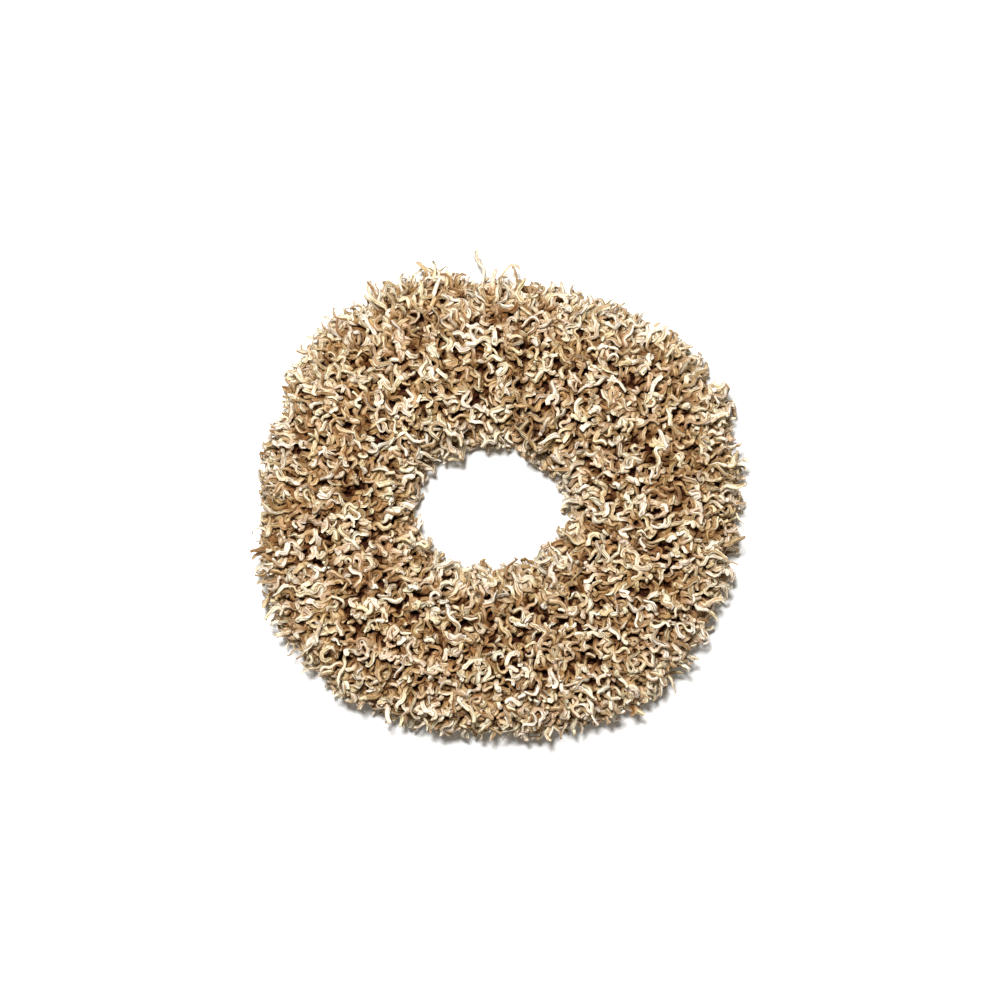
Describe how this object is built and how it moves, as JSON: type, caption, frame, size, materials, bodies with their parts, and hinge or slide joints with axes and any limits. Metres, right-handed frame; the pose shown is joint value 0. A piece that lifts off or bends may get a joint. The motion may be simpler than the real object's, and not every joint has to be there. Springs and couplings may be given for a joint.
{
  "type": "dried maize wreath",
  "caption": "Round wreath with an open middle: a thick shaggy coat of curled, crinkled maize husk strands on a flat-backed straw ring.",
  "frame": {"origin": "on the surface that the wreath lies on, under the middle of its outline", "axes": "+Z is the way the wreath's front looks, +Y is its top as it hangs, +X is its right as seen from the front"},
  "size_m": [0.6012, 0.5994, 0.1196],
  "materials": {
    "straw": "dry, ribbed along the straw, matt",
    "husk": "dry and papery, finely creased along its length, matt with a faint sheen"
  },
  "bodies": {
    "root": {"straw_ring": "straw", "husk_bunch_01": "husk", "husk_bunch_02": "husk", "husk_bunch_03": "husk", "husk_bunch_04": "husk", "husk_bunch_05": "husk", "husk_bunch_06": "husk", "husk_bunch_07": "husk", "husk_bunch_08": "husk", "husk_bunch_09": "husk", "husk_bunch_10": "husk", "husk_bunch_11": "husk", "husk_bunch_12": "husk"}
  },
  "joints": []
}
